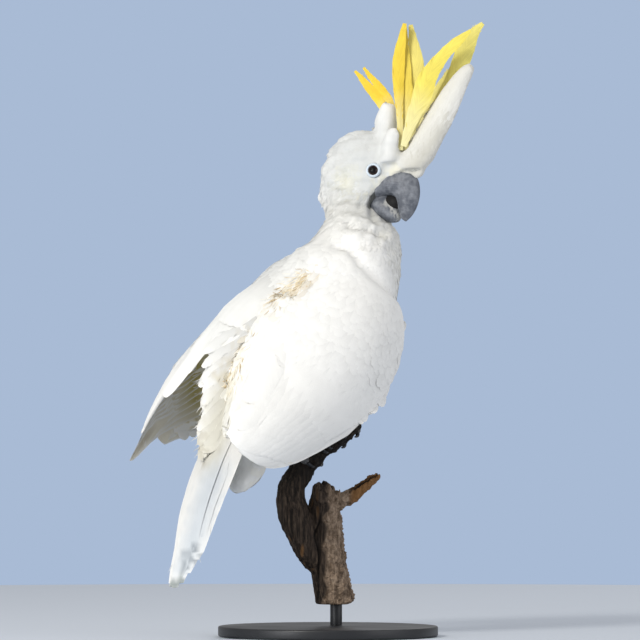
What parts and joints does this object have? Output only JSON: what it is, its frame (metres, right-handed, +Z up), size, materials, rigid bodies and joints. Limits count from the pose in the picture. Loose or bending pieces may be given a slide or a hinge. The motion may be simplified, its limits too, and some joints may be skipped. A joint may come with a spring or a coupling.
{
  "type": "cockatoo figure",
  "caption": "Life-size white cockatoo with a raised yellow crest, gripping a cut length of dead branch held upright by a round display stand.",
  "frame": {"origin": "centre of the stand base's underside", "axes": "+X the way the bird's body faces, +Y its left, +Z up"},
  "size_m": [0.3147, 0.2449, 0.6135],
  "materials": {
    "feather_white": "soft white plumage, matt",
    "feather_yellow": "sulphur-yellow crest feathers, matt",
    "bill_grey": "slate-grey horn, satin",
    "foot_grey": "dark grey scaly skin and claws",
    "eye_brown": "dark glossy eye",
    "lid_blue": "bare pale blue-white skin",
    "dead_wood": "weathered dead branch",
    "stand_black": "satin black"
  },
  "bodies": {
    "root": {"bill_lower": "bill_grey", "bill_upper": "bill_grey", "claw_left_1": "foot_grey", "claw_left_2": "foot_grey", "claw_left_3": "foot_grey", "claw_left_4": "foot_grey", "claw_right_1": "foot_grey", "claw_right_2": "foot_grey", "claw_right_3": "foot_grey", "claw_right_4": "foot_grey", "crest_feather_1": "feather_yellow", "crest_feather_2": "feather_yellow", "crest_feather_3": "feather_yellow", "crest_feather_4": "feather_yellow", "crest_feather_5": "feather_yellow", "crest_feather_6": "feather_yellow", "crest_feather_7": "feather_yellow", "crest_feather_8": "feather_yellow", "crest_front": "feather_white", "crest_middle": "feather_white", "crest_rear": "feather_white", "eye_left": "eye_brown", "eye_right": "eye_brown", "foot_left": "foot_grey", "foot_right": "foot_grey", "head": "feather_white", "lid_left": "lid_blue", "lid_right": "lid_blue", "neck": "feather_white", "perch": "dead_wood", "stand_base": "stand_black", "stand_rod": "stand_black", "tail": "feather_white", "thigh_left": "feather_white", "thigh_right": "feather_white", "trunk": "feather_white", "wing_left_coverts": "feather_white", "wing_left_flight": "feather_white", "wing_left_tertials": "feather_white", "wing_right_coverts": "feather_white", "wing_right_flight": "feather_white"}
  },
  "joints": []
}
